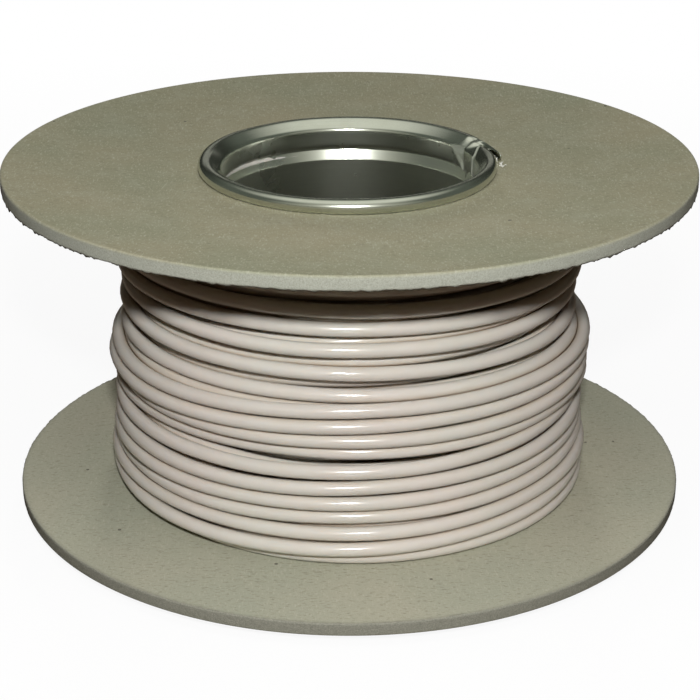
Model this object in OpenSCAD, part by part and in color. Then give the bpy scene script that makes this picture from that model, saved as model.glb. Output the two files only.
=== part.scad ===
// Reel of single-core cable. A tinplate tube with curled ends holds two card flanges,
// and the cable is wound on the tube between them.
// Millimetres. Z runs up the reel's axis from the floor, X to the right, Y to the back.

/* [Card flanges] */
// Outside diameter of both flanges
flange_d = 160; // [140:1:200]
// Thickness of the card
flange_t = 3; // [2:0.1:4]
// Clear width between the flanges at the core
traverse = 70.6; // [50:0.2:100]
// Rise of the top flange's edge above its clamped middle
top_dish = 3; // [0.2:0.1:4]
// Droop of the bottom flange's edge below its clamped middle
bottom_dish = 0.5; // [0.2:0.1:1.5]
// Flat card left outside the curled rim before the dish starts
clamp_land = 1.5; // [0.5:0.1:4]
// Chamfer round the die-cut edge
card_chamfer = 0.25; // [0.1:0.05:0.5]
// Clearance between the hole in the card and the tube
card_fit = 0.1; // [0.05:0.05:0.3]

/* [Tinplate core] */
// Inside diameter of the tube
core_bore_d = 59.2; // [50:0.2:66]
// Thickness of the tinplate
sheet_t = 0.4; // [0.3:0.05:0.6]
// Height of the curled rim above the card
rim_h = 3.2; // [2.8:0.1:4]
// Width of the curled rim from the bore out to its fullest
rim_w = 5.5; // [5:0.1:7]
// Bend radius at the neck, at the middle of the sheet
neck_bend = 1.2; // [0.9:0.05:1.4]
// Bend radius over the crest, at the middle of the sheet
crest_bend = 1.5; // [1.2:0.05:1.7]
// Narrow flat pressed along the crest
crest_flat = 0.4; // [0.2:0.05:0.8]
// Height of the neck above the card
neck_h = 0.4; // [0.2:0.05:0.8]
// Height of the bead's side next to the card, pressed flat by the curling
bead_near_h = 1.2; // [1.1:0.1:1.8]
// Height of the bead's sloping side, away from the card
bead_far_h = 2.6; // [1.6:0.1:4]
// How far the bead stands out from the tube
bead_out = 1; // [0.6:0.1:1.1]
// Clearance between the sheet and the faces of the card
crimp_gap = 0.05; // [0.02:0.01:0.2]

/* [Seam in the core] */
// Where the strip's ends meet, turned from the right towards the back
seam_angle = 11; // [0:1:90]
// Open line left between the strip's ends
seam_gap = 0.4; // [0.2:0.1:1]
// Width of the split in the top curl at its outer side
split_w = 4; // [1:0.5:8]

/* [Cable winding] */
// Diameter over the insulation
cable_d = 3.2; // [2.6:0.1:4]
// Diameter over the fullest turns
wound_d = 114.4; // [90:0.2:120]
// How far each turn settles into the one below it
turn_overlap = 0.25; // [0.2:0.05:0.6]
// How much lower a sunken turn lies than a full one
turn_sink = 0.8; // [0.1:0.1:0.9]
// Turns at the top that the unfinished last layer leaves bare
bare_turns = 8; // [1:1:12]
// Depth of that last layer
layer_h = 2.9; // [2.2:0.1:3.2]
// Clearance between the winding and the tube
wrap_fit = 0.25; // [0.15:0.05:0.5]
// Clearance between the winding and each flange
wind_fit = 0.1; // [0.05:0.05:0.5]

/* [Hidden] */
$fn = 96;

// Heights of the four card faces, from the floor up
low_out_z = rim_h;
low_in_z = low_out_z + flange_t;
top_in_z = low_in_z + traverse;
top_out_z = top_in_z + flange_t;
core_h = top_out_z + rim_h;

// Radii of the tube and of the cards
bore_r = core_bore_d / 2;
sheet_r = bore_r + sheet_t / 2;
tube_r = bore_r + sheet_t;
hole_r = tube_r + card_fit;
flange_r = flange_d / 2;
clamp_r = bore_r + rim_w + clamp_land;
edge_r = flange_r - card_chamfer;

// Swaged bead, an S curve out and another back, each made from two arcs of one radius
near_a = 2 * atan(bead_out / bead_near_h);
near_r = bead_near_h / (2 * sin(near_a));
far_a = 2 * atan(bead_out / bead_far_h);
far_r = bead_far_h / (2 * sin(far_a));
bead_z = -flange_t - crimp_gap - bead_near_h;
bead_crest_r = sheet_r + bead_out;

// Curled rim: the neck and the crest, the slope of the funnel that joins them,
// and how far the curl turns under before it meets the card
neck_c = [sheet_r + neck_bend, neck_h];
crest_out = [bore_r + rim_w - sheet_t / 2 - crest_bend, rim_h - sheet_t / 2 - crest_bend];
crest_in = crest_out - [crest_flat, 0];
funnel = crest_in - neck_c;
funnel_a = atan2(funnel[1], funnel[0]) + asin((crest_bend - neck_bend) / norm(funnel));
curl_a = asin((crest_out[1] - crimp_gap) / (crest_bend + sheet_t / 2));

// Winding: whole turns that fill the width between the flanges
wind_r = tube_r + wrap_fit;
wind_z = low_in_z + wind_fit;
wind_h = traverse - 2 * wind_fit;
turn_count = ceil((wind_h - cable_d) / (cable_d - turn_overlap)) + 1;
turn_step = (wind_h - cable_d) / (turn_count - 1);
first_bare = turn_count - bare_turns;
valley_land = 1.5;

function reversed(list) = [for (i = [len(list) - 1 : -1 : 0]) list[i]];

function arc(centre, radius, from, to, steps) = [
  for (i = [0 : steps])
    let (a = from + (to - from) * i / steps)
    centre + radius * [cos(a), sin(a)]
];

// Rise of a dished card at a radius
function dish_z(r, dish) = dish * pow((r - clamp_r) / (flange_r - clamp_r), 2);

// The bead's sloping side, from the tube's wall out to the crest of the bead
function bead_far_side(s) = concat(
  arc([sheet_r + far_r, bead_z - bead_far_h], far_r - s, 180, 180 - far_a, 5),
  arc([bead_crest_r - far_r, bead_z], far_r + s, -far_a, 0, 5)
);

// One side of the sheet from the tube's middle up to the curl's end, heights from the card's face
function sheet_side(s) = concat(
  bead_far_side(s),
  arc([bead_crest_r - near_r, bead_z], near_r + s, 0, near_a, 4),
  arc([sheet_r + near_r, bead_z + bead_near_h], near_r - s, 180 + near_a, 180, 4),
  arc(neck_c, neck_bend - s, 180, 90 + funnel_a, 5),
  arc(crest_in, crest_bend - s, 90 + funnel_a, 90, 4),
  arc(crest_out, crest_bend - s, 90, -curl_a, 12)
);

// The same side placed at the top of the reel, and turned over for the bottom
function side_up(s) = [for (p = sheet_side(s)) [p[0], top_out_z + p[1]]];
function side_down(s) = [for (p = side_up(s)) [p[0], core_h - p[1]]];

// Share of the sink that a turn takes, irregular along the core
function sink_share(k) = 0.5 - 0.5 * sin(137 * k + 60);

// Middle of one turn, as radius and height
function turn_mid(k) = [
  wound_d / 2 - cable_d / 2 - turn_sink * sink_share(k) - (k < first_bare ? 0 : layer_h),
  wind_z + cable_d / 2 + k * turn_step
];

// Direction from one turn to the next, and the angle kept clear on each side of it
function lay_a(k) =
  let (step = turn_mid(k + 1) - turn_mid(k))
  atan2(step[1], step[0]);
function valley_a(k) = valley_land + acos(min(1, norm(turn_mid(k + 1) - turn_mid(k)) / cable_d));

// Rounded outside of one turn, from the valley below it to the valley above it
function turn_from(k) = k == 0 ? -90 : lay_a(k - 1) - 180 + valley_a(k - 1);
function turn_to(k) = k == turn_count - 1 ? 90 : lay_a(k) - valley_a(k);
function turn_arc(k) = arc(turn_mid(k), cable_d / 2, turn_from(k), turn_to(k), 10);

module card_disc(dish) {
  radii = [for (i = [0 : 10]) clamp_r + (edge_r - clamp_r) * i / 10];
  lower = [for (r = radii) [r, dish_z(r, dish)]];
  upper = [for (r = radii) [r, dish_z(r, dish) + flange_t]];
  edge = [[flange_r, dish + card_chamfer], [flange_r, dish + flange_t - card_chamfer]];
  rotate_extrude()
    polygon(concat([[hole_r, 0]], lower, edge, reversed(upper), [[hole_r, flange_t]]));
}

module top_flange() {
  color([0.57, 0.56, 0.47])
    translate([0, 0, top_in_z])
      card_disc(top_dish);
}

module bottom_flange() {
  color([0.57, 0.56, 0.47])
    translate([0, 0, low_in_z])
      mirror([0, 0, 1])
        card_disc(bottom_dish);
}

module core_tube() {
  inner = -sheet_t / 2;
  outer = sheet_t / 2;
  color([0.72, 0.70, 0.66])
    difference() {
      rotate_extrude()
        polygon(concat(
          reversed(side_down(inner)),
          side_up(inner),
          reversed(side_up(outer)),
          side_down(outer)
        ));
      // Line where the rolled strip's ends meet
      rotate(seam_angle)
        translate([bore_r - 1, -seam_gap / 2, -1])
          cube([rim_w + 2, seam_gap, core_h + 2]);
      // The top curl has split open at the seam
      rotate(seam_angle)
        translate([0, 0, top_out_z + neck_h])
          linear_extrude(rim_h)
            polygon([
              [bore_r, 0],
              [bore_r + rim_w + 1, -split_w / 2],
              [bore_r + rim_w + 1, split_w / 2]
            ]);
    }
}

// Room for the bead in one end of the winding, from the bead's sloping side up to the card
module bead_room() {
  slope = [for (p = bead_far_side(sheet_t / 2)) p + [wrap_fit, top_out_z]];
  polygon(concat(
    [[bore_r, slope[0][1]]],
    slope,
    [[slope[len(slope) - 1][0], top_in_z], [bore_r, top_in_z]]
  ));
}

module cable_winding() {
  turns = [for (k = [0 : turn_count - 1]) each turn_arc(k)];
  color([0.86, 0.82, 0.77])
    rotate_extrude()
      difference() {
        polygon(concat([[wind_r, wind_z]], turns, [[wind_r, wind_z + wind_h]]));
        bead_room();
        translate([0, core_h])
          mirror([0, 1])
            bead_room();
      }
}

top_flange();
bottom_flange();
core_tube();
cable_winding();
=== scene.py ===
# %% [markdown]
# # A reel of single-core cable
# The reel is two greyboard discs held on a tinplate tube, with plastic-covered cable wound
# between them. The construction is already packed as four solids. This lesson dresses them:
# the real lay of the cable, the fibres of the card and the curled, torn rim of the tin.

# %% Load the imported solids
import math

import bpy
import numpy as np
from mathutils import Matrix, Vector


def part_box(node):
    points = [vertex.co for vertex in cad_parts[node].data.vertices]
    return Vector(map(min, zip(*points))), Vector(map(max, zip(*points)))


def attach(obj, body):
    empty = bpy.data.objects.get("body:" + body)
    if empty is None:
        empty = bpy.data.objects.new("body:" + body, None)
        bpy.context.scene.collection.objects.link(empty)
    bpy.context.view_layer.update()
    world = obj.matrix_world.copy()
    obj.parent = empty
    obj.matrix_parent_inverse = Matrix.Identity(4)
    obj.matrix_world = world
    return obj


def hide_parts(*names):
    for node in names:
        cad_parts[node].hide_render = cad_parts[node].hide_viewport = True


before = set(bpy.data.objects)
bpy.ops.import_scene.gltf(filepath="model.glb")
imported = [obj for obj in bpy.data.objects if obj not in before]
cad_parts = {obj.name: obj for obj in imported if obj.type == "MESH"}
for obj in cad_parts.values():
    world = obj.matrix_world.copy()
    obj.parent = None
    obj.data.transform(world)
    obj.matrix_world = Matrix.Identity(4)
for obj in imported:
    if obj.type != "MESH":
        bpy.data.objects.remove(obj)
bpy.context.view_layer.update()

# %% [markdown]
# All sizes below are in millimetres, because a reel is drawn in millimetres. Meshes are scaled
# to metres when they are made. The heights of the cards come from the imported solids, so the
# dressed pieces sit exactly where the solids are. The other sizes are those of the drawing.

# %% Sizes of the reel
MM = 0.001
top_flange_low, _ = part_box("top_flange")
_, bottom_flange_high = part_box("bottom_flange")
_, core_tube_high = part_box("core_tube")

CARD_T = 3.0
TOP_DISH = 3.0
LOW_DISH = 0.5
FLANGE_R = 80.0
TOP_IN_Z = top_flange_low[2] / MM
TOP_OUT_Z = TOP_IN_Z + CARD_T
LOW_IN_Z = bottom_flange_high[2] / MM
CORE_H = core_tube_high[2] / MM
BORE_R = 29.6
SHEET_T = 0.4
TUBE_R = BORE_R + SHEET_T
CARD_FIT = 0.1
HOLE_R = TUBE_R + CARD_FIT
RIM_W = 5.5
CLAMP_LAND = 1.5
CLAMP_R = BORE_R + RIM_W + CLAMP_LAND
CABLE_D = 3.2
print("card faces at", round(LOW_IN_Z, 2), round(TOP_IN_Z, 2), "mm, core", round(CORE_H, 2), "mm tall")

# %% [markdown]
# ## Camera
# The photograph looks down at the reel by about 23 degrees from roughly 0.4 m away, so the near
# edges are clearly larger than the far ones. A lens of about 94 mm on a 36 mm sensor gives the
# same crop.

# %% Camera
CAMERA_PLACE = (0.00015, -0.4088, 0.2048)
CAMERA_DOWN = 22.67
LENS = 94.17
SENSOR = 36.0
NEAREST_SEEN = 0.01

camera_data = bpy.data.cameras.new("camera")
camera_data.lens = LENS
camera_data.sensor_width = SENSOR
camera_data.clip_start = NEAREST_SEEN
camera = bpy.data.objects.new("camera", camera_data)
bpy.context.scene.collection.objects.link(camera)
camera.location = CAMERA_PLACE
camera.rotation_euler = (math.radians(90.0 - CAMERA_DOWN), 0.0, 0.0)
bpy.context.scene.camera = camera
bpy.context.scene.view_settings.view_transform = "Standard"
print("camera at", tuple(round(v, 4) for v in camera.location))

# %% [markdown]
# ## Mesh helpers
# Almost every piece here is turned about the reel's axis. The helpers make a plain mesh from
# arrays, turn a closed outline to a row of angles, join the points into quads, and add a UV map
# where U runs round the reel and V along the outline, both in metres. The last one gives a value
# that wanders round a ring and meets itself again, because no real ring is perfectly round.


# %% Helpers for meshes
def plain_mesh(name, points_mm, faces, smooth=True):
    """A mesh object at the origin, from points in millimetres."""
    mesh = bpy.data.meshes.new(name)
    mesh.from_pydata((np.asarray(points_mm) * MM).tolist(), [], faces)
    mesh.validate()
    mesh.polygons.foreach_set("use_smooth", [smooth] * len(mesh.polygons))
    mesh.update()
    piece = bpy.data.objects.new(name, mesh)
    bpy.context.scene.collection.objects.link(piece)
    return piece


def mark_points(piece, name, values):
    """An attribute with one value for each point of a piece."""
    mark = piece.data.attributes.new(name, "FLOAT", "POINT")
    mark.data.foreach_set("value", np.asarray(values, dtype=np.float32))


def turned_grid(outline, angles):
    """Radius, height and angle of a closed outline's points at each angle: angles by outline."""
    shape = (len(angles), len(outline))
    radius = np.broadcast_to(outline[None, :, 0], shape).copy()
    height = np.broadcast_to(outline[None, :, 1], shape).copy()
    theta = np.broadcast_to(angles[:, None], shape).copy()
    return radius, height, theta


def turned_points(radius, height, theta):
    """A list of points from their radius, height and angle."""
    return np.stack([radius * np.cos(theta), radius * np.sin(theta), height], axis=2).reshape(-1, 3)


def grid_faces(rows, cols, close_rows=True):
    """Quads of a grid, wrapped round its columns and, if asked, its rows."""
    faces = []
    for a in range(rows if close_rows else rows - 1):
        b = (a + 1) % rows
        for c in range(cols):
            d = (c + 1) % cols
            faces.append((a * cols + c, b * cols + c, b * cols + d, a * cols + d))
    return faces


def grid_uv(piece, cols, u_along, v_along):
    """UV in metres on a turned strip: U along its turn, V along its section."""
    uv = piece.data.uv_layers.new(name="turned")
    for polygon in piece.data.polygons:
        loops = list(polygon.loop_indices)
        cells = [divmod(piece.data.loops[i].vertex_index, cols) for i in loops]
        wraps = max(c[1] for c in cells) - min(c[1] for c in cells) == cols - 1
        for i, (row, col) in zip(loops, cells):
            v = v_along[cols] if wraps and col == 0 else v_along[col]
            uv.data[i].uv = (u_along[row] * MM, v * MM)


def smooth_noise(angles, waves, seed, amount):
    """A wandering value round a ring, the sum of whole waves with random phases."""
    rng = np.random.default_rng(seed)
    total = np.zeros_like(angles)
    for k in waves:
        size = rng.normal()
        total += size * np.sin(k * angles + rng.uniform(0, 2 * np.pi)) / math.sqrt(len(waves))
    return total * amount


print("helpers ready")

# %% [markdown]
# ## Material helpers
# Each finish is built from a few node types. A short helper adds a node, sets its values and
# joins its inputs, so that each material below reads as a list of layers. Scales count the
# cells of a pattern in a metre.


# %% Helpers for materials
def new_material(name):
    """A material with an empty tree, its Principled shader and its output."""
    material = bpy.data.materials.new(name)
    material.use_nodes = True
    tree = material.node_tree
    tree.nodes.clear()
    output = tree.nodes.new("ShaderNodeOutputMaterial")
    shader = tree.nodes.new("ShaderNodeBsdfPrincipled")
    tree.links.new(shader.outputs["BSDF"], output.inputs["Surface"])
    return material, tree, shader


def add_node(tree, kind, inputs=None, **settings):
    """A node with settings, and inputs given as values or as sockets to join."""
    node = tree.nodes.new(kind)
    for key, value in settings.items():
        setattr(node, key, value)
    for key, value in (inputs or {}).items():
        socket = node.inputs[key]
        if isinstance(value, bpy.types.NodeSocket):
            tree.links.new(value, socket)
        else:
            socket.default_value = value
    return node


def object_place(tree):
    """Where a point lies on the piece, in metres."""
    return add_node(tree, "ShaderNodeTexCoord").outputs["Object"]


def marked(tree, name):
    """The value of an attribute."""
    return add_node(tree, "ShaderNodeAttribute", attribute_name=name).outputs["Fac"]


def noise_layer(tree, vector, scale=1.0, detail=2.0, roughness=0.5):
    """Grey noise from 0 to 1 on a vector."""
    inputs = {"Vector": vector, "Scale": scale, "Detail": detail, "Roughness": roughness}
    return add_node(tree, "ShaderNodeTexNoise", inputs).outputs["Fac"]


def ramp_layer(tree, value, low, high, at_low=0.0, at_high=1.0):
    """A value stretched so that low becomes at_low and high becomes at_high."""
    inputs = {"Value": value, "From Min": low, "From Max": high, "To Min": at_low, "To Max": at_high}
    return add_node(tree, "ShaderNodeMapRange", inputs).outputs["Result"]


def math_layer(tree, operation, *values):
    """One step of arithmetic on two or three values."""
    return add_node(tree, "ShaderNodeMath", dict(enumerate(values)), operation=operation).outputs[0]


def tint_layer(tree, factor, below, above):
    """Colour below with colour above laid over it by a factor."""
    inputs = {0: factor, 6: below, 7: above}
    return add_node(tree, "ShaderNodeMix", inputs, data_type="RGBA").outputs[2]


def bump_layer(tree, height, distance, strength):
    """A bump, its distance in metres."""
    inputs = {"Height": height, "Distance": distance, "Strength": strength}
    return add_node(tree, "ShaderNodeBump", inputs).outputs["Normal"]


def stretched(tree, vector, scale, turn=0.0):
    """A vector scaled differently along each axis, and turned about Z."""
    inputs = {"Vector": vector, "Scale": scale, "Rotation": (0.0, 0.0, turn)}
    return add_node(tree, "ShaderNodeMapping", inputs).outputs["Vector"]


print("material helpers ready")

# %% [markdown]
# ## Cable finish
# The covering is smooth, faintly pink-white PVC. It shines, but dust and handling dull it in
# patches, and its tint drifts a little along the reel. The colour stays close to what the
# photograph shows in full light. An attribute marks where two turns press together, and painted
# shade, light brown near them and dark brown where they touch, darkens those gaps. The covering
# lets a little light through, which warms the gaps.

# %% Cable finish
COVER_COOL = (0.630, 0.606, 0.545, 1.0)
COVER_PINK = (0.650, 0.600, 0.546, 1.0)
COVER_SOILED = (0.570, 0.525, 0.445, 1.0)
# The next two colours are painted shade for the gaps between turns, light brown and dark brown
COVER_GAP_SHADE = (0.470, 0.370, 0.250, 1.0)
COVER_CONTACT_SHADE = (0.240, 0.150, 0.075, 1.0)


def make_cable_finish():
    material, tree, shader = new_material("pvc_covering")
    place = object_place(tree)
    pressed = marked(tree, "pressed")
    drift = noise_layer(tree, place, scale=38.0)
    dust = noise_layer(tree, place, scale=420.0, detail=3.0, roughness=0.6)
    smear = noise_layer(tree, stretched(tree, place, (60.0, 60.0, 500.0)))
    wave = noise_layer(tree, place, scale=150.0, detail=1.0)
    colour = tint_layer(tree, ramp_layer(tree, drift, 0.35, 0.65), COVER_COOL, COVER_PINK)
    colour = tint_layer(tree, ramp_layer(tree, smear, 0.5, 0.8, at_high=0.30), colour, COVER_SOILED)
    # Painted shade: light brown near another turn, dark brown where two turns touch
    colour = tint_layer(tree, ramp_layer(tree, pressed, 0.10, 0.75, at_high=0.35), colour, COVER_GAP_SHADE)
    colour = tint_layer(tree, ramp_layer(tree, pressed, 0.70, 0.98, at_high=0.80), colour, COVER_CONTACT_SHADE)
    dull = ramp_layer(tree, dust, 0.3, 0.75, at_low=0.12, at_high=0.22)
    tree.links.new(colour, shader.inputs["Base Color"])
    tree.links.new(dull, shader.inputs["Roughness"])
    tree.links.new(bump_layer(tree, wave, 0.0002, 0.2), shader.inputs["Normal"])
    shader.inputs["Specular IOR Level"].default_value = 0.5
    shader.inputs["Subsurface Weight"].default_value = 0.45
    shader.inputs["Subsurface Radius"].default_value = (1.0, 0.85, 0.72)
    shader.inputs["Subsurface Scale"].default_value = 0.0015
    return material


cable_finish = make_cable_finish()
print("made", cable_finish.name)

# %% [markdown]
# ## Laying the cable
# A machine lays the cable turn by turn while a guide runs up and down between the cards. The
# guide's pitch wanders, and it waits for most of a turn at each card. A pair of numbers for each
# pass says the mean pitch, in cable diameters, and how much it wanders.

# %% The guide that leads the cable
STEPS = 96
CABLE_R = CABLE_D / 2
LAY_GAP = 0.05
LOWEST_Z = LOW_IN_Z + CABLE_R + LAY_GAP
PITCHES = [(1.46, 0.15)] * 6 + [(1.45, 0.40), (1.35, 0.45), (1.06, 0.40)]
PITCH_STEPS = STEPS // 4
PITCH_MEMORY = 0.6
LEAST_PITCH = 0.9
WAIT_TURNS = (0.6, 0.95)


class Guide:
    """A guide that runs up and down the core, one step of a turn at a time."""

    def __init__(self, seed):
        self.rng = np.random.default_rng(seed)
        self.z = LOWEST_Z
        self.way = 1
        self.passes = 0
        self.wait = 0
        self.pitch = PITCHES[0][0]

    def on_last_pass(self):
        """Whether the guide runs up for the last time."""
        return self.passes >= len(PITCHES) - 1 and self.way > 0

    def move(self, step, highest):
        """Move by one step and return how far that was along the core, in mm."""
        if step % PITCH_STEPS == 0:
            mean, wander = PITCHES[min(self.passes, len(PITCHES) - 1)]
            pitch = mean + PITCH_MEMORY * (self.pitch - mean) + wander * self.rng.normal()
            self.pitch = max(LEAST_PITCH, pitch)
        rate = 0.0 if self.wait else self.way * self.pitch * CABLE_D / STEPS
        self.wait = max(0, self.wait - 1)
        self.z += rate
        if (self.way > 0 and self.z > highest) or (self.way < 0 and self.z < LOWEST_Z):
            self.z = min(max(self.z, LOWEST_Z), highest)
            self.way = -self.way
            self.passes += 1
            self.wait = int(STEPS * self.rng.uniform(*WAIT_TURNS))
        return rate


print("passes of the guide:", len(PITCHES))

# %% [markdown]
# Under tension each turn slips sideways into the nearest hollow and only then climbs over a
# ridge, so turns bunch, sink and cross. Drawing a neat helix would miss all of this, so the
# winding is laid here as it happens: step by step, each step resting on whatever already lies
# below it at that angle. The last pass stops part of the way up, as it does in the photograph.

# %% Lay the cable step by step
STOP_Z = 41.5
WRAP_FIT = 0.25
BARE_R = TUBE_R + WRAP_FIT + CABLE_R
MOST_TURNS = 260
NEAR_TURNS = 60
NOT_LAID = 1e6
PROBE = 0.15
STEEPEST_HOLLOW = 2.5
# In one step: the share of the way to the guide, the slip for a slope of 1, the share of a wished
# change that happens, and the most that the cable moves along the core and up or down in radius
GUIDE_PULL = 0.014
SLIP = 0.03
YIELD = 0.25
STEEPEST = 0.16
CLIMB = 0.12


def within(value, low, high):
    """A value kept between two limits."""
    return min(max(value, low), high)


def dish_rise(radius, dish):
    """Height that a dished card gains at a radius."""
    share = np.clip((np.asarray(radius) - CLAMP_R) / (FLANGE_R - CLAMP_R), 0.0, None)
    return dish * share ** 2


def resting_radius(lying_z, lying_r, tries):
    """Radius at which the cable rests at each height tried, on the turns that lie there."""
    if not len(lying_z):
        return np.full(len(tries), BARE_R)
    gap = CABLE_D ** 2 - (np.array(tries)[:, None] - lying_z[None, :]) ** 2
    lifted = np.where(gap > 0, lying_r + np.sqrt(np.maximum(gap, 0)), BARE_R)
    return np.maximum(lifted.max(axis=1), BARE_R)


def lay_cable(seed):
    """Heights and radii of the cable's middle, one value for each step round the core."""
    guide = Guide(seed)
    heights = np.full((STEPS, MOST_TURNS), NOT_LAID)
    radii = np.zeros((STEPS, MOST_TURNS))
    z, slope, radius = LOWEST_Z, 0.0, BARE_R
    path_z, path_r = [], []
    for n in range(STEPS * MOST_TURNS):
        turn, step = divmod(n, STEPS)
        highest = TOP_IN_Z + float(dish_rise(radius, TOP_DISH)) - CABLE_R - LAY_GAP
        rate = guide.move(step, highest)
        near = slice(max(0, turn - NEAR_TURNS), turn)
        lying = heights[step, near], radii[step, near]
        below, above = resting_radius(*lying, [z - PROBE, z + PROBE])
        downhill = within((above - below) / (2 * PROBE), -STEEPEST_HOLLOW, STEEPEST_HOLLOW)
        wish = within(rate + GUIDE_PULL * (guide.z - z) - SLIP * downhill, -STEEPEST, STEEPEST)
        slope += YIELD * (wish - slope)
        z = within(z + slope, LOWEST_Z, highest)
        radius = max(resting_radius(*lying, [z])[0], radius - CLIMB)
        heights[step, turn] = z
        radii[step, turn] = radius
        path_z.append(z)
        path_r.append(radius)
        # The steps before a climb are lifted too, because the cable can't bend sharply
        back = n - 1
        while back >= 0 and path_r[back] < path_r[back + 1] - CLIMB:
            path_r[back] = path_r[back + 1] - CLIMB
            radii[back % STEPS, back // STEPS] = path_r[back]
            back -= 1
        # The free end lies at the back
        if guide.on_last_pass() and z > STOP_Z and step == STEPS // 4:
            break
    return np.array(path_z), np.array(path_r)


cable_z, cable_r = lay_cable(seed=72)
print("turns:", round(len(cable_z) / STEPS, 1))

# %% [markdown]
# The laid values still jump a little from step to step, so they are averaged over five steps
# before they become points. The length of the line is the length of cable on the reel.

# %% The cable's path
SOFTEN = np.array([1.0, 2.0, 3.0, 2.0, 1.0]) / 9.0
cable_r[2:-2] = np.convolve(cable_r, SOFTEN, mode="valid")
cable_z[2:-2] = np.convolve(cable_z, SOFTEN, mode="valid")
cable_angle = np.arange(len(cable_z)) * 2 * np.pi / STEPS
cable_path = np.stack([cable_r * np.cos(cable_angle), cable_r * np.sin(cable_angle), cable_z], axis=1)
cable_length = float(np.linalg.norm(np.diff(cable_path, axis=0), axis=1).sum()) * MM
print("length:", round(cable_length, 1), "m")
print("fullest radius:", round(float(cable_r.max()) + CABLE_R, 2), "mm")

# %% [markdown]
# ## Sweeping the cable
# The laid path is a line of points. A Geometry Nodes tree turns such a line into a tube: the
# line becomes a curve, a circle is swept along it, and the material is set. The same tree makes
# the hidden inner turns with fewer sides and the outer turns with more.


# %% Geometry Nodes tree that sweeps a tube
def make_tube_tree():
    tree = bpy.data.node_groups.new("tube_along_line", "GeometryNodeTree")
    face = tree.interface
    face.new_socket("Geometry", in_out="INPUT", socket_type="NodeSocketGeometry")
    radius = face.new_socket("Radius", in_out="INPUT", socket_type="NodeSocketFloat")
    sides = face.new_socket("Sides", in_out="INPUT", socket_type="NodeSocketInt")
    finish = face.new_socket("Finish", in_out="INPUT", socket_type="NodeSocketMaterial")
    face.new_socket("Geometry", in_out="OUTPUT", socket_type="NodeSocketGeometry")
    source = tree.nodes.new("NodeGroupInput")
    line = tree.nodes.new("GeometryNodeMeshToCurve")
    normal = tree.nodes.new("GeometryNodeSetCurveNormal")
    normal.mode = "Z_UP"
    circle = tree.nodes.new("GeometryNodeCurvePrimitiveCircle")
    sweep = tree.nodes.new("GeometryNodeCurveToMesh")
    sweep.inputs["Fill Caps"].default_value = True
    shade = tree.nodes.new("GeometryNodeSetShadeSmooth")
    realize = tree.nodes.new("GeometryNodeRealizeInstances")
    paint = tree.nodes.new("GeometryNodeSetMaterial")
    sink = tree.nodes.new("NodeGroupOutput")
    join = tree.links.new
    join(source.outputs["Geometry"], line.inputs["Mesh"])
    join(line.outputs["Curve"], normal.inputs["Curve"])
    join(normal.outputs["Curve"], sweep.inputs["Curve"])
    join(source.outputs["Radius"], circle.inputs["Radius"])
    join(source.outputs["Sides"], circle.inputs["Resolution"])
    join(circle.outputs["Curve"], sweep.inputs["Profile Curve"])
    join(sweep.outputs["Mesh"], shade.inputs["Geometry"])
    join(shade.outputs["Geometry"], realize.inputs["Geometry"])
    join(realize.outputs["Geometry"], paint.inputs["Geometry"])
    join(source.outputs["Finish"], paint.inputs["Material"])
    join(paint.outputs["Geometry"], sink.inputs["Geometry"])
    return tree, radius.identifier, sides.identifier, finish.identifier


tube_tree, tube_radius, tube_sides, tube_finish = make_tube_tree()
print("tree inputs:", tube_radius, tube_sides, tube_finish)

# %% [markdown]
# Only the outer turns can be seen, so the path is cut in two: the outer turns are swept finely,
# the buried ones coarsely. Together they hold the cable's whole length.

# %% Sweep the outer and the buried turns
OUTER_TURNS = 62
OUTER_SIDES = 14
BURIED_SIDES = 6
BURIED_STRIDE = 2


def sweep_tube(name, points_mm, radius_mm, sides, finish):
    """A plain mesh tube along a line of points."""
    line = bpy.data.meshes.new(name + "_line")
    count = len(points_mm)
    line.from_pydata((points_mm * MM).tolist(), [(i, i + 1) for i in range(count - 1)], [])
    piece = bpy.data.objects.new(name, line)
    bpy.context.scene.collection.objects.link(piece)
    modifier = piece.modifiers.new("tube", "NODES")
    modifier.node_group = tube_tree
    modifier[tube_radius] = radius_mm * MM
    modifier[tube_sides] = sides
    modifier[tube_finish] = finish
    evaluated = piece.evaluated_get(bpy.context.evaluated_depsgraph_get())
    swept = bpy.data.meshes.new_from_object(evaluated)
    piece.modifiers.remove(modifier)
    piece.data = swept
    bpy.data.meshes.remove(line)
    swept.name = name
    return piece


cut = len(cable_path) - OUTER_TURNS * STEPS
buried_path = cable_path[: cut + 1 : BURIED_STRIDE]
outer_turns = sweep_tube("cable_outer_turns", cable_path[cut:], CABLE_R, OUTER_SIDES, cable_finish)
inner_turns = sweep_tube("cable_inner_turns", buried_path, CABLE_R, BURIED_SIDES, cable_finish)
for piece in (outer_turns, inner_turns):
    print(piece.name, len(piece.data.polygons), "faces")

# %% [markdown]
# Two turns press together where a point of one comes close to the other. At each step round the
# core the distance to the second nearest turn tells how close that is, because the nearest one
# is always the point's own turn.

# %% Mark where turns press together
PRESSED_REACH = 1.4


def pressed_shares(piece):
    """1 at each point where the nearest other turn touches, and 0 beyond the reach."""
    points = np.empty(len(piece.data.vertices) * 3, dtype=np.float32)
    piece.data.vertices.foreach_get("co", points)
    points = points.reshape(-1, 3) / MM
    radius = np.hypot(points[:, 0], points[:, 1])
    turned = np.arctan2(points[:, 1], points[:, 0]) % (2 * np.pi)
    steps = np.round(turned * STEPS / (2 * np.pi)).astype(int) % STEPS
    pressed = np.zeros(len(points), dtype=np.float32)
    for step in range(STEPS):
        here = np.flatnonzero(steps == step)
        away = np.hypot(radius[here, None] - cable_r[None, step::STEPS],
                        points[here, 2, None] - cable_z[None, step::STEPS])
        other = np.partition(away, 1, axis=1)[:, 1] - CABLE_R
        pressed[here] = np.clip(1.0 - other / PRESSED_REACH, 0.0, 1.0)
    return pressed


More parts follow.
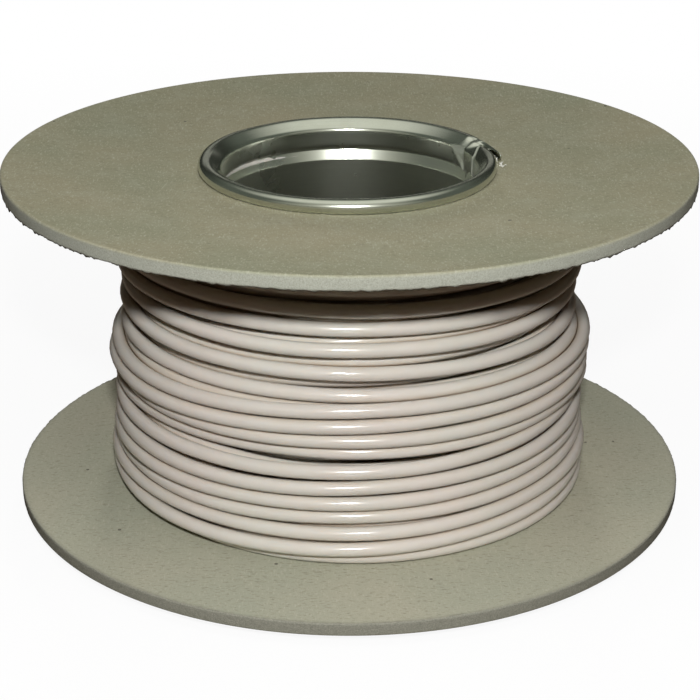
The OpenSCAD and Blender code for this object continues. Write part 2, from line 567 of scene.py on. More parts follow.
pressed = pressed_shares(outer_turns)
mark_points(outer_turns, "pressed", pressed)
print("share pressed:", round(float(pressed.mean()), 3))

# %% [markdown]
# ## Card finish
# The discs are greyboard, pressed from waste paper. Its colour is a greenish grey with paler and
# darker fibres, faint warm and green clouds, a few dark specks and a soft, dull surface. Where
# the die has cut it, the torn fibres catch more light, so an attribute marks the cut edge. The
# lower card is coloured paler, with a darker cut, and a second attribute says so.

# %% Card finish
CARD_GREEN = (0.293, 0.300, 0.204, 1.0)
CARD_WARM = (0.349, 0.323, 0.217, 1.0)
PALER_GREEN = (0.381, 0.389, 0.300, 1.0)
PALER_WARM = (0.432, 0.414, 0.317, 1.0)
CARD_MOTTLE = (0.403, 0.403, 0.302, 1.0)
PALE_FIBRE = (0.504, 0.493, 0.381, 1.0)
DARK_FIBRE = (0.170, 0.159, 0.106, 1.0)
CARD_SPECK = (0.070, 0.065, 0.050, 1.0)
CUT_DARK = (0.290, 0.300, 0.247, 1.0)
CUT_LIGHT = (0.420, 0.430, 0.362, 1.0)
PALER_CUT_DARK = (0.195, 0.195, 0.155, 1.0)
PALER_CUT_LIGHT = (0.310, 0.305, 0.248, 1.0)
SPECK_SIZE = 0.055
SPECK_RARE = 0.72
SPECK_STRENGTH = 0.75


def card_specks(tree, place):
    """How strongly a point is covered by one of the few dark specks."""
    cells = add_node(tree, "ShaderNodeTexVoronoi", {"Vector": place, "Scale": 130.0})
    near = math_layer(tree, "LESS_THAN", cells.outputs["Distance"], SPECK_SIZE)
    rare = math_layer(tree, "GREATER_THAN", cells.outputs["Color"], SPECK_RARE)
    return math_layer(tree, "MULTIPLY", math_layer(tree, "MULTIPLY", near, rare), SPECK_STRENGTH)


def make_card_finish():
    material, tree, shader = new_material("greyboard")
    place = object_place(tree)
    paler = marked(tree, "paler_card")
    clouds = noise_layer(tree, place, scale=26.0, detail=3.0, roughness=0.55)
    mottle = noise_layer(tree, place, scale=140.0, detail=3.0, roughness=0.6)
    grain = noise_layer(tree, place, scale=3200.0, roughness=0.7)
    along = noise_layer(tree, stretched(tree, place, (2600.0, 700.0, 1400.0), 0.5), roughness=0.6)
    across = noise_layer(tree, stretched(tree, place, (800.0, 2400.0, 1400.0), 0.3), roughness=0.6)
    cloudy = ramp_layer(tree, clouds, 0.3, 0.7)
    grainy = ramp_layer(tree, grain, 0.3, 0.7)
    colour = tint_layer(tree, paler, tint_layer(tree, cloudy, CARD_GREEN, CARD_WARM),
                        tint_layer(tree, cloudy, PALER_GREEN, PALER_WARM))
    colour = tint_layer(tree, ramp_layer(tree, mottle, 0.45, 0.8, at_high=0.4), colour, CARD_MOTTLE)
    colour = tint_layer(tree, ramp_layer(tree, along, 0.54, 0.74, at_high=0.7), colour, PALE_FIBRE)
    colour = tint_layer(tree, ramp_layer(tree, across, 0.54, 0.76, at_high=0.6), colour, DARK_FIBRE)
    colour = tint_layer(tree, card_specks(tree, place), colour, CARD_SPECK)
    torn = tint_layer(tree, paler, tint_layer(tree, grainy, CUT_DARK, CUT_LIGHT),
                      tint_layer(tree, grainy, PALER_CUT_DARK, PALER_CUT_LIGHT))
    colour = tint_layer(tree, marked(tree, "cut_edge"), colour, torn)
    relief = math_layer(tree, "MULTIPLY_ADD", along, 0.6, grain)
    tree.links.new(colour, shader.inputs["Base Color"])
    tree.links.new(bump_layer(tree, relief, 0.00012, 0.5), shader.inputs["Normal"])
    shader.inputs["Roughness"].default_value = 0.85
    shader.inputs["Specular IOR Level"].default_value = 0.25
    return material


card_finish = make_card_finish()
print("made", card_finish.name)

# %% [markdown]
# ## Card discs
# Each disc is turned from its section: a hole, a flat middle under the curl, and a shallow dish.
# A cutting die leaves the side where it enters a little rounded, and tears the other side into
# a ragged burr. The rings of points near the cut edge are moved by seeded noise to make both.

# %% Card discs
CARD_STEPS = 1080
# Rings of points on both faces: one near the hole, and the dish's from the clamp to the rim
HOLE_RING = 2.0
DISH_START = 4.0
DISH_END = 1.2
DISH_RINGS = 10
# The rounded lip: how far in from the rim, how far below the outer face, and how torn it looks
LIP = ((0.60, 0.02, 0.0), (0.32, 0.09, 0.1), (0.13, 0.24, 0.35), (0.03, 0.48, 0.7), (0.0, 0.80, 1.0))
# Heights of the rings on the cut wall above the inner face
WALL = (1.45, 1.1, 0.8, 0.5, 0.22)
# The burr: how far in from the rim, how far below the inner face, and how torn it looks
BURR = ((0.10, 0.03, 1.0), (0.40, 0.01, 0.35))
# How ragged the burr, the wall and the rim are, in millimetres or as shares of the burr's depth
BURR_WAVES = range(40, 200, 7)
BURR_FINE = 0.45
BURR_ROOT = 0.4
BURR_IN = 0.04
BURR_IN_ROUGH = 0.05
WALL_ROUGH = 0.035
ROUGH_RINGS = len(WALL) + 2
ROUGH_SOFTEN = 1.7
RIM_WAVES = (2, 3, 5)
RIM_WANDER = 0.06
RIM_DEPTH = 1.0
RIM_SPARE = 0.005


def card_outline(dish):
    """Section of a card from the hole along the inner face, up the cut edge and back.

    Returns its points (radius, height), how torn each looks, and where the burr's root is.
    """
    dished = np.linspace(CLAMP_R + DISH_START, FLANGE_R - DISH_END, DISH_RINGS)
    rings = np.concatenate([[HOLE_R, HOLE_R + HOLE_RING, CLAMP_R], dished])
    inner = [(r, float(dish_rise(r, dish)), 0.0) for r in rings]
    outer = [(r, float(dish_rise(r, dish)) + CARD_T, 0.0) for r in rings]
    burr = [(FLANGE_R - inwards, dish - down, torn) for inwards, down, torn in BURR]
    wall = [(FLANGE_R, dish + up, 1.0) for up in WALL]
    lip = [(FLANGE_R - inwards, dish + CARD_T - down, torn) for inwards, down, torn in LIP]
    rows = np.array(inner + burr[::-1] + wall[::-1] + lip[::-1] + outer[::-1])
    return rows[:, :2], rows[:, 2], len(inner)


def make_card_disc(name, inner_z, way, dish, burr_seed, burr_depth, paler):
    """A card disc, dished away from the winding. way is 1 for the top card, -1 for the bottom."""
    angles = np.arange(CARD_STEPS) * 2 * np.pi / CARD_STEPS
    outline, torn, root = card_outline(dish)
    tip = root + 1
    radius, height, theta = turned_grid(outline, angles)
    rng = np.random.default_rng(burr_seed)
    fine = rng.normal(size=(CARD_STEPS, len(outline)))
    fine = (fine + np.roll(fine, 1, 0) + np.roll(fine, -1, 0)) / ROUGH_SOFTEN
    ragged = np.abs(smooth_noise(angles, BURR_WAVES, burr_seed + 1, 1.0))
    ragged = burr_depth * (ragged + np.abs(fine[:, 0]) * BURR_FINE)
    cut = slice(tip + 1, tip + 1 + ROUGH_RINGS)
    radius[:, cut] -= np.abs(fine[:, cut]) * WALL_ROUGH
    height[:, root] -= ragged * BURR_ROOT
    height[:, tip] -= ragged
    radius[:, tip] -= BURR_IN + fine[:, tip] * BURR_IN_ROUGH
    at_rim = outline[None, root:, 0] > FLANGE_R - RIM_DEPTH
    wander = smooth_noise(angles, RIM_WAVES, burr_seed + 2, RIM_WANDER)
    radius[:, root:] += wander[:, None] * at_rim
    radius = np.minimum(radius, FLANGE_R - RIM_SPARE)
    faces = grid_faces(CARD_STEPS, len(outline))
    if way > 0:
        faces = [face[::-1] for face in faces]
    piece = plain_mesh(name, turned_points(radius, inner_z + way * height, theta), faces)
    mark_points(piece, "cut_edge", np.tile(torn, CARD_STEPS))
    mark_points(piece, "paler_card", np.full(radius.size, paler))
    piece.data.materials.append(card_finish)
    return piece


top_card = make_card_disc("top_card_disc", TOP_IN_Z, way=1, dish=TOP_DISH,
                          burr_seed=11, burr_depth=0.28, paler=0.0)
low_card = make_card_disc("bottom_card_disc", LOW_IN_Z, way=-1, dish=LOW_DISH,
                          burr_seed=23, burr_depth=0.08, paler=1.0)
for piece in (top_card, low_card):
    print(piece.name, len(piece.data.polygons), "faces")

# %% [markdown]
# ## Tin finish
# The tube is bright tinplate. Rolling leaves faint lines round it and handling dulls it in
# patches, so its colour varies along the turned UV map and its roughness from patch to patch.
# The tool that rolled the top curl has burnished it, and an attribute marks where the crushed
# metal by the seam is rubbed dull.

# %% Tin finish
TIN_BRIGHT = (0.660, 0.680, 0.605, 1.0)
TIN_DULL = (0.610, 0.628, 0.550, 1.0)
TIN_LINES = (0.500, 0.510, 0.440, 1.0)
POLISH_FROM = TOP_OUT_Z + 0.2
POLISH_FULL = TOP_OUT_Z + 1.0
POLISHED = 0.67
RUBBED_ROUGHNESS = 0.30


def make_tin_finish():
    material, tree, shader = new_material("tinplate")
    turned = add_node(tree, "ShaderNodeUVMap", uv_map="turned").outputs["UV"]
    place = object_place(tree)
    tall = add_node(tree, "ShaderNodeSeparateXYZ", {"Vector": place}).outputs["Z"]
    lines = noise_layer(tree, stretched(tree, turned, (35.0, 1500.0, 1.0)), detail=3.0, roughness=0.6)
    patches = noise_layer(tree, place, scale=90.0, detail=3.0, roughness=0.6)
    colour = tint_layer(tree, ramp_layer(tree, patches, 0.35, 0.7), TIN_BRIGHT, TIN_DULL)
    colour = tint_layer(tree, ramp_layer(tree, lines, 0.5, 0.75, at_high=0.22), colour, TIN_LINES)
    dull = ramp_layer(tree, patches, 0.3, 0.7, at_low=0.26, at_high=0.31)
    curl = ramp_layer(tree, tall, POLISH_FROM * MM, POLISH_FULL * MM, at_low=1.0, at_high=POLISHED)
    dull = math_layer(tree, "MULTIPLY", dull, curl)
    dull = math_layer(tree, "MULTIPLY_ADD", marked(tree, "rubbed"), RUBBED_ROUGHNESS, dull)
    tree.links.new(colour, shader.inputs["Base Color"])
    tree.links.new(dull, shader.inputs["Roughness"])
    tree.links.new(bump_layer(tree, patches, 0.0003, 0.03), shader.inputs["Normal"])
    shader.inputs["Metallic"].default_value = 1.0
    return material


tin_finish = make_tin_finish()
print("made", tin_finish.name)

# %% [markdown]
# ## Section of the tin
# The tube is one strip of tin, rolled up, beaded below each card and curled over it at both
# ends. Its section is drawn as arcs on the middle of the sheet, so that both faces keep the same
# thickness. The bead's side next to the card was pressed flat when the end was curled, and its
# other side slopes back to the tube. That slope is the bright band inside the bore.

# %% Curves of the section
NECK_BEND = 1.2
NECK_H = 0.4
CREST_BEND = 1.5
CREST_FLAT = 0.4
BEAD_NEAR = 1.2
BEAD_FAR = 2.6
BEAD_OUT = 1.0
BEAD_BEND = 0.7
CRIMP_GAP = 0.05
RIM_H = CORE_H - TOP_OUT_Z
SHEET_R = BORE_R + SHEET_T / 2


def arc(centre, radius, start, end, steps):
    """Points of an arc, angles in degrees."""
    a = np.radians(np.linspace(start, end, steps + 1))
    return np.stack([centre[0] + radius * np.cos(a), centre[1] + radius * np.sin(a)], axis=1)


def s_curve(rise, out):
    """Angle and radius of the two equal arcs that move a sheet out by out over a rise."""
    angle = 2 * math.atan(out / rise)
    return math.degrees(angle), rise / (2 * math.sin(angle))


def slope_between(rise, out, bend):
    """Angle of the straight slope between two bends that move a sheet out by out over a rise.

    The angles from 5 to 60 degrees are tried in steps of a twentieth, and the closest is taken.
    """
    angles = np.linspace(5.0, 60.0, 1101)
    a = np.radians(angles)
    straight = (rise - 2 * bend * np.sin(a)) / np.cos(a)
    moved = 2 * bend * (1.0 - np.cos(a)) + straight * np.sin(a)
    return float(angles[np.argmin(np.abs(moved - out))])


bead_slope = slope_between(BEAD_FAR, BEAD_OUT, BEAD_BEND)
print("slope of the bead:", round(bead_slope, 2), "degrees")


# %% Both sides of the sheet
def sheet_side(s, fine):
    """One side of the sheet from below the bead up over the curl, heights from the card's face.

    s is how far this side lies from the middle of the sheet, and fine multiplies the points.
    """
    near_a, near_r = s_curve(BEAD_NEAR, BEAD_OUT)
    bead_z = -CARD_T - CRIMP_GAP - BEAD_NEAR
    crest_r = SHEET_R + BEAD_OUT
    neck = (SHEET_R + NECK_BEND, NECK_H)
    crest_out = (BORE_R + RIM_W - SHEET_T / 2 - CREST_BEND, RIM_H - SHEET_T / 2 - CREST_BEND)
    crest_in = (crest_out[0] - CREST_FLAT, crest_out[1])
    run = (crest_in[0] - neck[0], crest_in[1] - neck[1])
    tangent = math.asin((CREST_BEND - NECK_BEND) / math.hypot(*run))
    slope = math.degrees(math.atan2(run[1], run[0]) + tangent)
    under = math.degrees(math.asin((crest_out[1] - CRIMP_GAP) / (CREST_BEND + SHEET_T / 2)))
    wall = np.linspace(bead_z + BEAD_NEAR, NECK_H, 3 * fine + 1)
    points = np.concatenate([
        arc((SHEET_R + BEAD_BEND, bead_z - BEAD_FAR), BEAD_BEND - s, 180, 180 - bead_slope, 3 * fine),
        arc((crest_r - BEAD_BEND, bead_z), BEAD_BEND + s, -bead_slope, 0, 3 * fine),
        arc((crest_r - near_r, bead_z), near_r + s, 0, near_a, 2 * fine),
        arc((SHEET_R + near_r, bead_z + BEAD_NEAR), near_r - s, 180 + near_a, 180, 2 * fine),
        np.stack([np.full_like(wall, SHEET_R + s), wall], axis=1),
        arc(neck, NECK_BEND - s, 180, 90 + slope, 3 * fine),
        arc(crest_in, CREST_BEND - s, 90 + slope, 90, 2 * fine),
        arc(crest_out, CREST_BEND - s, 90, -under, 6 * fine),
    ])
    moved = np.linalg.norm(np.diff(points, axis=0), axis=1) > 1e-6
    return points[np.concatenate([[True], moved])]


def whole_side(s):
    """One side of the sheet from the bottom curl to the top curl, in the reel's own heights."""
    top = sheet_side(s, 2) + [0.0, TOP_OUT_Z]
    low = sheet_side(s, 1) + [0.0, TOP_OUT_Z]
    low = np.stack([low[:, 0], CORE_H - low[:, 1]], axis=1)
    return np.concatenate([low[::-1], top])


bore_side = whole_side(-SHEET_T / 2)
back_side = whole_side(SHEET_T / 2)
print("points on one side of the sheet:", len(bore_side), len(back_side))

# %% [markdown]
# ## Burst seam
# The ends of the strip meet at the right. There the top curl has burst. The back end has a flat
# three-cornered dent running down the wall. A plane makes it: inside the dent, each point moves
# to the plane. Turns are counted in degrees from the back end of the strip.

# %% The flat dent
SEAM_ANGLE = math.radians(11.0)
DENT_Z = 75.2
DENT_HEIGHT = 6.0
DENT_START = 11.3
DENT_LEFT_LEAN = 15.0
DENT_RIGHT_LEAN = 2.2
DENT_RIGHT_EARLY = 1.0
DENT_SIDE_SOFT = 1.2
DENT_TOP = 5.4
DENT_TOP_TURN = 26.0
DENT_TOP_SLOPE = 0.117
DENT_TOP_SOFT = 0.4
DENT_REACH = 0.50
DENT_REACH_SOFT = 0.15
DENT_NORMAL = (0.707, 0.620, -0.340)
DENT_OFFSET = 0.45


def ease(x):
    """0 to 1 with soft ends."""
    x = np.clip(x, 0.0, 1.0)
    return x * x * (3.0 - 2.0 * x)


def dent_share(from_back, height, reach):
    """1 inside the three-cornered dent, which opens upwards from a corner on the wall."""
    up = (height - DENT_Z) / DENT_HEIGHT
    left = DENT_START + DENT_LEFT_LEAN * up - from_back
    right = from_back - (DENT_START + DENT_RIGHT_LEAN * up)
    top = DENT_Z + DENT_TOP + DENT_TOP_SLOPE * (DENT_TOP_TURN - from_back) - height
    sides = ease(left / DENT_SIDE_SOFT) * ease((right + DENT_RIGHT_EARLY) / DENT_SIDE_SOFT)
    in_reach = ease((DENT_REACH - reach) / DENT_REACH_SOFT)
    return sides * (up > 0.0) * ease(top / DENT_TOP_SOFT) * in_reach


def dent_radius(turn, height):
    """Radius of the dent's flat face, kept clear of the hole in the card."""
    angle = turn + SEAM_ANGLE
    across = DENT_NORMAL[0] * np.cos(angle) + DENT_NORMAL[1] * np.sin(angle)
    flat = (DENT_OFFSET - DENT_NORMAL[2] * height) / across
    return np.where(height < TOP_OUT_Z, np.minimum(flat, SHEET_R), flat)


print("seam at", round(math.degrees(SEAM_ANGLE)), "degrees")

# %% [markdown]
# From the dent to the gap the crest of the back end is crushed, with a knob left standing, and
# its outer curl is flared. The front end's edge is a thin bright lip that leans back over the
# gap, and the front curl is pulled in for a quarter of its way round. Moving the points of the
# turned section makes all of this. Widths and turns are in degrees, moves in millimetres.

# %% The crushed crest and the front end
# Shares of the rim's width where the outer curl starts and where the funnel has begun
CURL_FROM = 0.65
CURL_SOFT = 0.3
FUNNEL_SOFT = 0.25
# Crushed crest
CRUSH_END = 18.0
CRUSH_SOFT = 5.0
CRUSH_OUT = 0.9
CRUSH_SINK = 0.38
# Knob
KNOB_TURN = 12.5
KNOB_WIDTH = 2.2
KNOB_IN = 1.1
KNOB_RISE = 0.16
# Flared outer curl
FLARE_WIDTH = 5.0
FLARE_OUT = 1.0
FLARE_SINK = 0.22
# Thin lip along the front end's edge
EDGE_WIDTH = 0.6
EDGE_RISE = 1.5
EDGE_IN = 0.45
EDGE_LESS = 0.4
# Front curl pulled in
PULL_FROM = 80.0
PULL_SPAN = 70.0
PULL_IN = 0.9
END_PULL_WIDTH = 9.0
END_PULL_IN = 0.5
FRONT_WIDTH = 5.0
FRONT_SINK = 0.10
# The two ends stand apart and lean
HALF_GAP = 0.15
GAP_WIDTH = 7.0
LEAN_WIDTH = 8.0
CREST_LEAN = 4.0
CURL_LEAN = 3.0
# How dull the knob and the edge are rubbed
KNOB_RUBBED = 0.5
EDGE_RUBBED = 1.6


def fall(degrees_away, width):
    """1 where nothing is away, falling softly to 0."""
    return np.exp(-((degrees_away / width) ** 2))


def burst_seam(radius, height, turn, side):
    """Moved radius, height and turn, and how rubbed each point is.

    turn runs from the back end of the strip round to its front end.
    """
    from_back = np.degrees(turn)
    from_front = 360.0 - from_back
    above = np.maximum(height - TOP_OUT_Z, 0.0)
    reach = np.clip((radius - TUBE_R) / (RIM_W - SHEET_T), 0.0, 1.0) * (above > 0.0)
    outer = ease((reach - CURL_FROM) / CURL_SOFT)
    inner = ease(reach / FUNNEL_SOFT) * (1.0 - outer)
    # Flat dent in the back end
    dent = dent_share(from_back, height, reach)
    new_radius = radius + (dent_radius(turn, height) + side - radius) * dent
    # Crushed crest between the dent and the gap, its knob, and the flared outer curl
    crush = ease((CRUSH_END - from_back) / CRUSH_SOFT) * inner
    knob = fall(from_back - KNOB_TURN, KNOB_WIDTH) * inner
    flare = fall(from_back, FLARE_WIDTH) * outer
    new_radius += CRUSH_OUT * crush - KNOB_IN * knob + FLARE_OUT * flare
    # Thin lip turned into the bore along the front end's edge
    from_edge = np.radians(from_front) * SHEET_R
    at_edge = np.clip(1.0 - from_edge / EDGE_WIDTH, 0.0, 1.0) * ease((height - DENT_Z) / EDGE_RISE)
    new_radius -= EDGE_IN * at_edge ** 2 * (1.0 - EDGE_LESS * reach)
    # Front curl pulled in towards the seam
    pull = PULL_IN * ease((PULL_FROM - from_front) / PULL_SPAN)
    new_radius -= (pull + END_PULL_IN * fall(from_front, END_PULL_WIDTH)) * reach
    # Heights shrink towards the card
    shrink = CRUSH_SINK * crush - KNOB_RISE * knob + FLARE_SINK * flare
    shrink += FRONT_SINK * fall(from_front, FRONT_WIDTH) * reach
    new_height = height - above * shrink
    # The ends stand apart, and the front end leans back over the gap at its crest
    gap = np.degrees(HALF_GAP / SHEET_R)
    back_lean = (CREST_LEAN * inner - CURL_LEAN * outer) * fall(from_back, LEAN_WIDTH)
    front_lean = CREST_LEAN * inner * fall(from_front, LEAN_WIDTH)
    back_shift = gap * fall(from_back, GAP_WIDTH) + back_lean
    front_shift = gap * fall(from_front, GAP_WIDTH) - front_lean
    new_turn = turn + np.radians(back_shift - front_shift)
    rubbed = dent + KNOB_RUBBED * knob + ease(EDGE_RUBBED * at_edge)
    return new_radius, new_height, new_turn, np.clip(rubbed, 0.0, 1.0)


print("crest crushed over", CRUSH_END, "degrees")

# %% [markdown]
# ## Core tube
# The section is turned from the back end of the strip round to its front end, so the tube stays
# open at the seam, as the real one is. Stations lie closest near the ends, where the metal has
# burst, and closest of all at the thin lip. A slow wander keeps the curl from being perfect.

# %% Core tube
NEAR_END = math.radians(30.0)
AT_LIP = math.radians(3.0)
WHOLE_TURN = 2 * math.pi
# Where each row of stations starts and ends, and how many steps it has
STATIONS = (
    (0.0, NEAR_END, 60),
    (NEAR_END, WHOLE_TURN - NEAR_END, 220),
    (WHOLE_TURN - NEAR_END, WHOLE_TURN - AT_LIP, 44),
    (WHOLE_TURN - AT_LIP, WHOLE_TURN, 24),
)
CURL_WANDER = 0.08
WANDER_WAVES = (2, 3, 5, 7)
CURL_DIP = 0.06
DIP_WAVES = (2, 3, 4, 7, 11)


def make_core_tube():
    turn = [np.linspace(start, end, steps, endpoint=False) for start, end, steps in STATIONS]
    turn = np.append(np.concatenate(turn), WHOLE_TURN)
    count = len(bore_side)
    outline = np.concatenate([bore_side, back_side[::-1]])
    side = np.repeat([-SHEET_T / 2, SHEET_T / 2], count)
    radius, height, theta = turned_grid(outline, turn)
    curl = np.clip((height - TOP_OUT_Z) / RIM_H, 0.0, 1.0)
    radius, height, theta, rubbed = burst_seam(radius, height, theta, side[None, :])
    wander = smooth_noise(turn, WANDER_WAVES, seed=5, amount=CURL_WANDER)
    dip = np.minimum(smooth_noise(turn, DIP_WAVES, seed=6, amount=CURL_DIP), 0.0)
    radius += curl * wander[:, None]
    height += curl * dip[:, None]
    theta += SEAM_ANGLE
    rows, cols = len(turn), len(outline)
    faces = grid_faces(rows, cols, close_rows=False)
    # The two ends of the strip are closed across the sheet
    last = (rows - 1) * cols
    for i in range(count - 1):
        j = cols - 1 - i
        faces.append((i, i + 1, j - 1, j))
        faces.append((last + j, last + j - 1, last + i + 1, last + i))
    piece = plain_mesh("tin_core_tube", turned_points(radius, height, theta), faces)
    along = np.concatenate([[0.0], np.cumsum(np.linalg.norm(np.diff(outline, axis=0), axis=1))])
    along = np.append(along, along[-1] + SHEET_T)
    grid_uv(piece, cols, turn * SHEET_R, along)
    mark_points(piece, "rubbed", rubbed.reshape(-1))
    piece.data.materials.append(tin_finish)
    return piece


core_tube = make_core_tube()
print(core_tube.name, len(core_tube.data.polygons), "faces")

# %% [markdown]
# The bursting curl has torn a few white shreds out of the card in front of the seam. Each is a
# thin tapering strip that rises from the card and bends over.

# %% Torn shreds of card
# Where each shred stands (degrees and radius), its heading, its length and its lift
SHREDS = (
    (6.4, 34.3, 95.0, 1.5, 1.5), (5.2, 34.4, 75.0, 1.4, 1.2), (2.6, 35.2, 60.0, 1.7, 0.7),
    (2.0, 35.6, 120.0, 1.4, 0.6), (4.0, 34.4, 100.0, 1.5, 0.9), (1.2, 35.6, 20.0, 1.1, 0.5),
)
SHRED_SECTIONS = 5
SHRED_CORNERS = 4
SHRED_HALF = 0.28
SHRED_TAPER = 0.75
SHRED_T = 0.10
SHRED_BEND = 2.2
SHRED_FOOT = 0.02
SHRED_WHITE = (0.62, 0.62, 0.55, 1.0)


def shred_points(stand, radius, heading, length, lift):
    """Corners of one shred, section by section from its foot to its tip."""
    a = math.radians(stand)
    h = math.radians(heading)
    ahead = np.array([math.cos(h), math.sin(h), 0.0])
    across = np.array([-math.sin(h), math.cos(h), 0.0])
    foot = np.array([radius * math.cos(a), radius * math.sin(a), TOP_OUT_Z + SHRED_FOOT])
    points = []
    for i in range(SHRED_SECTIONS):
        t = i / (SHRED_SECTIONS - 1)
        middle = foot + ahead * length * t + np.array([0.0, 0.0, lift * math.sin(SHRED_BEND * t)])
        half = SHRED_HALF * (1.0 - SHRED_TAPER * t)
        for w, up in ((-half, 0.0), (half, 0.0), (half, SHRED_T), (-half, SHRED_T)):
            points.append(middle + across * w + np.array([0.0, 0.0, up]))
    return points


def make_shreds():
    tip = (SHRED_SECTIONS - 1) * SHRED_CORNERS
    one = grid_faces(SHRED_SECTIONS, SHRED_CORNERS, close_rows=False)
    one += [(0, 1, 2, 3), (tip + 3, tip + 2, tip + 1, tip)]
    points, faces = [], []
    for shred in SHREDS:
        first = len(points)
        points += shred_points(*shred)
        faces += [tuple(first + v for v in face) for face in one]
    piece = plain_mesh("torn_card_shreds", points, faces, smooth=False)
    material, _, shader = new_material("torn_card")
    shader.inputs["Base Color"].default_value = SHRED_WHITE
    shader.inputs["Roughness"].default_value = 0.9
    piece.data.materials.append(material)
    return piece


card_shreds = make_shreds()
print(card_shreds.name, len(card_shreds.data.polygons), "faces")

# %% [markdown]
# ## Joining the pieces to the imported solids
# Each dressed piece rides on the reel's one body, and the imported solid it stands for is hidden.

# %% Ride and replace
for piece, node, slot in (
    (outer_turns, "cable_winding", "pvc_insulation"),
    (inner_turns, None, "pvc_insulation"),
    (top_card, "top_flange", "greyboard"),
    (low_card, "bottom_flange", "greyboard"),
    (core_tube, "core_tube", "tinplate"),
    (card_shreds, None, "greyboard"),
):
    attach(piece, "root")
    if node:
        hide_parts(node)
    print(piece.name, "stands for", node)

# %% [markdown]
# ## Floor
# The reel stands on a plain floor that is white to the camera, wholly so further away, and keeps
# a faint shadow near the reel. A real white floor would throw light up under the top card, where
# the photograph is dark. So the floor is dark to all other light, and a dull brown in reflections.

# %% Floor
WHITE = (1.0, 1.0, 1.0, 1.0)
FLOOR_HALF = 3000
FLOOR_SEEN = (0.95, 0.95, 0.95, 1.0)
FLOOR_MIRRORED = (0.20, 0.17, 0.13, 1.0)
FLOOR_LIT = (0.045, 0.020, 0.008, 1.0)
SHADOW_FROM = 0.12
SHADOW_TO = 0.45
WHITE_NEAR = 0.92


def ray_kinds(tree):
    """1 for rays from the camera, and 1 for rays seen in a reflection or through glass."""
    path = add_node(tree, "ShaderNodeLightPath").outputs
    mirrored = math_layer(tree, "MAXIMUM", path["Is Glossy Ray"], path["Is Transmission Ray"])
    return path["Is Camera Ray"], mirrored


def make_floor():
    half = FLOOR_HALF
    corners = [(-half, -half, 0), (half, -half, 0), (half, half, 0), (-half, half, 0)]
    piece = plain_mesh("floor", corners, [(0, 1, 2, 3)])
    material, tree, shader = new_material("pale_floor")
    camera_ray, mirrored = ray_kinds(tree)
    colour = tint_layer(tree, mirrored, FLOOR_LIT, FLOOR_MIRRORED)
    colour = tint_layer(tree, camera_ray, colour, FLOOR_SEEN)
    tree.links.new(colour, shader.inputs["Base Color"])
    shader.inputs["Roughness"].default_value = 0.9
    away = add_node(tree, "ShaderNodeVectorMath", {0: object_place(tree)}, operation="LENGTH")
    share = ramp_layer(tree, away.outputs["Value"], SHADOW_FROM, SHADOW_TO, at_low=WHITE_NEAR)
    share = math_layer(tree, "MULTIPLY", camera_ray, share)
    white = add_node(tree, "ShaderNodeEmission", {"Color": WHITE, "Strength": 1.0})
    layers = {0: share, 1: shader.outputs["BSDF"], 2: white.outputs["Emission"]}
    blend = add_node(tree, "ShaderNodeMixShader", layers)
    output = next(node for node in tree.nodes if node.type == "OUTPUT_MATERIAL")
    tree.links.new(blend.outputs["Shader"], output.inputs["Surface"])
    piece.data.materials.append(material)
    return piece


floor = make_floor()
print("floor ready")

# %% [markdown]
# ## World
# The camera sees white all round. Tin shows whatever stands round it, so reflections see a room:
# grey walls, a pale ceiling, a dark far end with one bright strip of window, and a paler near end
# behind the camera. All other light from the world is a faint warm glow in the shade.

# %% World
WALL_GREY = (0.110, 0.124, 0.106, 1.0)
CEILING_PALE = (0.82, 0.83, 0.75, 1.0)
FAR_END = (0.030, 0.033, 0.027, 1.0)
NEAR_SIDE = (0.42, 0.425, 0.36, 1.0)
WINDOW_STRIP = (0.6, 0.6, 0.54, 1.0)
SHADE_GLOW = (0.017, 0.008, 0.003, 1.0)


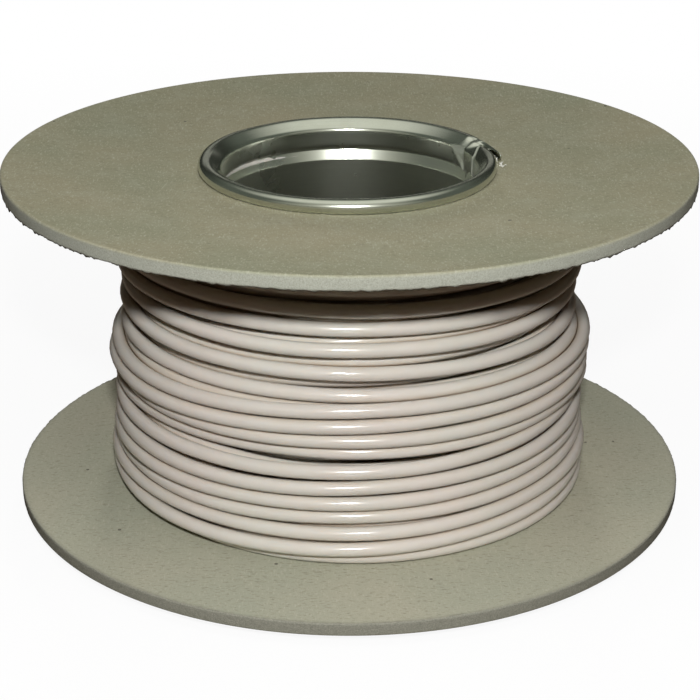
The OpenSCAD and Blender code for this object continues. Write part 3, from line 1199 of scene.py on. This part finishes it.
def make_room(tree, rise, depth):
    """Colours of the room by direction: rise is upwards, depth is away from the camera."""
    ceiling = ramp_layer(tree, rise, 0.68, 0.95)
    far = math_layer(tree, "MULTIPLY", ramp_layer(tree, depth, 0.30, 0.85),
                     ramp_layer(tree, rise, 0.60, 0.45))
    near = math_layer(tree, "MULTIPLY", ramp_layer(tree, depth, -0.35, -0.80),
                      ramp_layer(tree, rise, 0.05, 0.25))
    strip = math_layer(tree, "MULTIPLY", ramp_layer(tree, rise, 0.24, 0.27),
                       ramp_layer(tree, rise, 0.33, 0.30))
    strip = math_layer(tree, "MULTIPLY", strip, ramp_layer(tree, depth, 0.88, 0.95))
    room = tint_layer(tree, ceiling, WALL_GREY, CEILING_PALE)
    room = tint_layer(tree, far, room, FAR_END)
    room = tint_layer(tree, near, room, NEAR_SIDE)
    return tint_layer(tree, strip, room, WINDOW_STRIP)


def make_world():
    world = bpy.data.worlds.new("studio")
    world.use_nodes = True
    tree = world.node_tree
    background = next(node for node in tree.nodes if node.type == "BACKGROUND")
    camera_ray, mirrored = ray_kinds(tree)
    direction = add_node(tree, "ShaderNodeTexCoord").outputs["Generated"]
    axes = add_node(tree, "ShaderNodeSeparateXYZ", {"Vector": direction}).outputs
    colour = tint_layer(tree, mirrored, SHADE_GLOW, make_room(tree, axes["Z"], axes["Y"]))
    colour = tint_layer(tree, camera_ray, colour, WHITE)
    tree.links.new(colour, background.inputs["Color"])
    return world


bpy.context.scene.world = make_world()
print("world ready")

# %% [markdown]
# ## Lamps
# One small lamp sits just above the camera, as in the photograph, and throws the top card's
# shadow on the winding. A broad soft lamp overhead lifts the cards, and one more at the back
# shows the far side. Those two aren't seen in reflections, so the tin shows only the room.


# %% Lamps
def add_lamp(name, place, target, size, power):
    """A square area lamp aimed at a point, in metres and watts."""
    data = bpy.data.lights.new(name, "AREA")
    data.size = size
    data.energy = power
    lamp = bpy.data.objects.new(name, data)
    bpy.context.scene.collection.objects.link(lamp)
    lamp.location = place
    aim = np.asarray(target) - np.asarray(place)
    tilt = math.acos(-aim[2] / np.linalg.norm(aim))
    lamp.rotation_euler = (tilt, 0.0, math.atan2(aim[0], -aim[1]) + math.pi)
    return lamp


add_lamp("key", place=(0.006, -0.430, 0.300), target=(0.0, 0.0, 0.05), size=0.030, power=2.2)
overhead = add_lamp("overhead", place=(0.0, -0.35, 1.2), target=(0.0, 0.0, 0.05), size=0.6, power=3.0)
back_lamp = add_lamp("back", place=(0.0, 1.1, 0.36), target=(0.0, 0.0, 0.04), size=0.2, power=4.5)
for lamp in (overhead, back_lamp):
    lamp.visible_glossy = False
